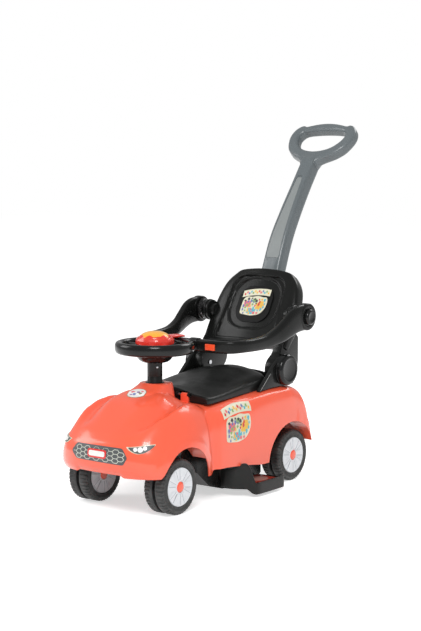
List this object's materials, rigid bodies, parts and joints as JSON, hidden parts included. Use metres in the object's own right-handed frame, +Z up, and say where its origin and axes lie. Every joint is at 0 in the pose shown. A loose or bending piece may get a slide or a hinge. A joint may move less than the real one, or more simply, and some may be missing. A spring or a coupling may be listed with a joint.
{
  "type": "ride-on push car",
  "caption": "Toddler ride-on car with a parent push handle, hinged guard ring, steering wheel with horn, seat with storage and fold-out foot trays.",
  "frame": {"origin": "middle of the footprint on the ground", "axes": "-Y is the way the car drives, +X is its left side, +Z is up"},
  "size_m": [0.377, 0.9808, 0.9052],
  "materials": {
    "coral_plastic": "glossy",
    "black_plastic": "satin",
    "handle_grey": "satin",
    "label_grey": "satin",
    "hub_grey": "satin",
    "tyre_black": "matte",
    "signal_orange": "glossy",
    "horn_red": "glossy",
    "horn_yellow": "glossy",
    "foot_pad_red": "satin",
    "steel": "bright"
  },
  "bodies": {
    "car_body": {"body_shell": "coral_plastic", "chassis": "black_plastic", "storage_bin": "black_plastic", "column_bush": "black_plastic", "rear_axle": "steel", "back_base": "black_plastic", "side_disc_left": "black_plastic", "side_disc_right": "black_plastic", "backrest_front": "black_plastic", "backrest_rear": "black_plastic", "push_handle": "handle_grey", "handle_label": "label_grey", "guard_boss_left": "black_plastic", "guard_boss_right": "black_plastic", "back_bolt_left": "steel", "back_bolt_right": "steel", "footrest_left": "black_plastic", "footrest_right": "black_plastic", "foot_pad_left": "foot_pad_red", "foot_pad_right": "foot_pad_red", "seat_pin_left": "steel", "seat_pin_right": "steel"},
    "steering": {"steering_wheel": "black_plastic", "steering_column": "black_plastic", "steering_crank": "black_plastic", "horn_base": "horn_red"},
    "horn": {"horn_button": "horn_yellow"},
    "knuckle_left_body": {"knuckle_left": "black_plastic", "stub_axle_left": "steel"},
    "knuckle_right_body": {"knuckle_right": "black_plastic", "stub_axle_right": "steel"},
    "tie_rod": {"tie_plate": "black_plastic"},
    "front_left_wheel": {"wheel_front_left_outer": "tyre_black", "wheel_front_left_inner": "tyre_black", "hubcap_front_left_outer": "hub_grey", "hubcap_front_left_inner": "hub_grey", "centre_cap_front_left_outer": "coral_plastic", "centre_cap_front_left_inner": "coral_plastic"},
    "front_right_wheel": {"wheel_front_right_outer": "tyre_black", "wheel_front_right_inner": "tyre_black", "hubcap_front_right_outer": "hub_grey", "hubcap_front_right_inner": "hub_grey", "centre_cap_front_right_outer": "coral_plastic", "centre_cap_front_right_inner": "coral_plastic"},
    "rear_left_wheel": {"wheel_rear_left": "tyre_black", "hubcap_rear_left": "hub_grey", "centre_cap_rear_left": "coral_plastic"},
    "rear_right_wheel": {"wheel_rear_right": "tyre_black", "hubcap_rear_right": "hub_grey", "centre_cap_rear_right": "coral_plastic"},
    "seat": {"seat_lid": "black_plastic"},
    "guard_left": {"guard_arm_left": "black_plastic", "guard_knob_left": "black_plastic"},
    "guard_right": {"guard_arm_right": "black_plastic", "guard_knob_right": "black_plastic"},
    "guard_release": {"release_button": "signal_orange"}
  },
  "joints": [
    {"name": "steer", "type": "hinge", "parent": "car_body", "child": "steering", "pos_m": [0, -0.2774, 0.3], "axis": [0, 0, 1], "range_deg": [-18, 18]},
    {"name": "horn_press", "type": "slide", "parent": "steering", "child": "horn", "axis": [0, 0, -1], "range_m": [0, 0.003], "stiffness_N_per_m": 600, "springref_m": -0.004},
    {"name": "knuckle_left_turn", "type": "hinge", "parent": "car_body", "child": "knuckle_left_body", "pos_m": [0.1155, -0.3624, 0.14], "axis": [0, 0, 1], "range_deg": [-18, 18]},
    {"name": "knuckle_right_turn", "type": "hinge", "parent": "car_body", "child": "knuckle_right_body", "pos_m": [-0.1155, -0.3624, 0.14], "axis": [0, 0, 1], "range_deg": [-18, 18]},
    {"name": "tie_rod_pivot", "type": "hinge", "parent": "knuckle_left_body", "child": "tie_rod", "pos_m": [0.1155, -0.3344, 0.1425], "axis": [0, 0, 1], "range_deg": [-18, 18]},
    {"name": "front_left_spin", "type": "hinge", "parent": "knuckle_left_body", "child": "front_left_wheel", "pos_m": [0.1155, -0.3624, 0.065], "axis": [1, 0, 0], "continuous": true},
    {"name": "front_right_spin", "type": "hinge", "parent": "knuckle_right_body", "child": "front_right_wheel", "pos_m": [-0.1155, -0.3624, 0.065], "axis": [1, 0, 0], "continuous": true},
    {"name": "rear_left_spin", "type": "hinge", "parent": "car_body", "child": "rear_left_wheel", "pos_m": [0.1155, 0.0956, 0.065], "axis": [1, 0, 0], "continuous": true},
    {"name": "rear_right_spin", "type": "hinge", "parent": "car_body", "child": "rear_right_wheel", "pos_m": [-0.1155, 0.0956, 0.065], "axis": [1, 0, 0], "continuous": true},
    {"name": "seat_hinge", "type": "hinge", "parent": "car_body", "child": "seat", "pos_m": [0, -0.2286, 0.2525], "axis": [1, 0, 0], "range_deg": [0, 38]},
    {"name": "guard_left_hinge", "type": "hinge", "parent": "car_body", "child": "guard_left", "pos_m": [0.168, 0.1126, 0.4165], "axis": [-1, 0, 0], "range_deg": [0, 75]},
    {"name": "guard_right_hinge", "type": "hinge", "parent": "car_body", "child": "guard_right", "pos_m": [-0.168, 0.1126, 0.4165], "axis": [-1, 0, 0], "range_deg": [0, 75]},
    {"name": "guard_release_press", "type": "slide", "parent": "guard_left", "child": "guard_release", "axis": [0, 1, 0], "range_m": [0, 0.0025], "stiffness_N_per_m": 300, "springref_m": -0.001}
  ],
  "couplings": [
    {"joint": "knuckle_left_turn", "follows": "steer", "ratio": 1},
    {"joint": "knuckle_right_turn", "follows": "steer", "ratio": 1},
    {"joint": "tie_rod_pivot", "follows": "steer", "ratio": -1}
  ]
}
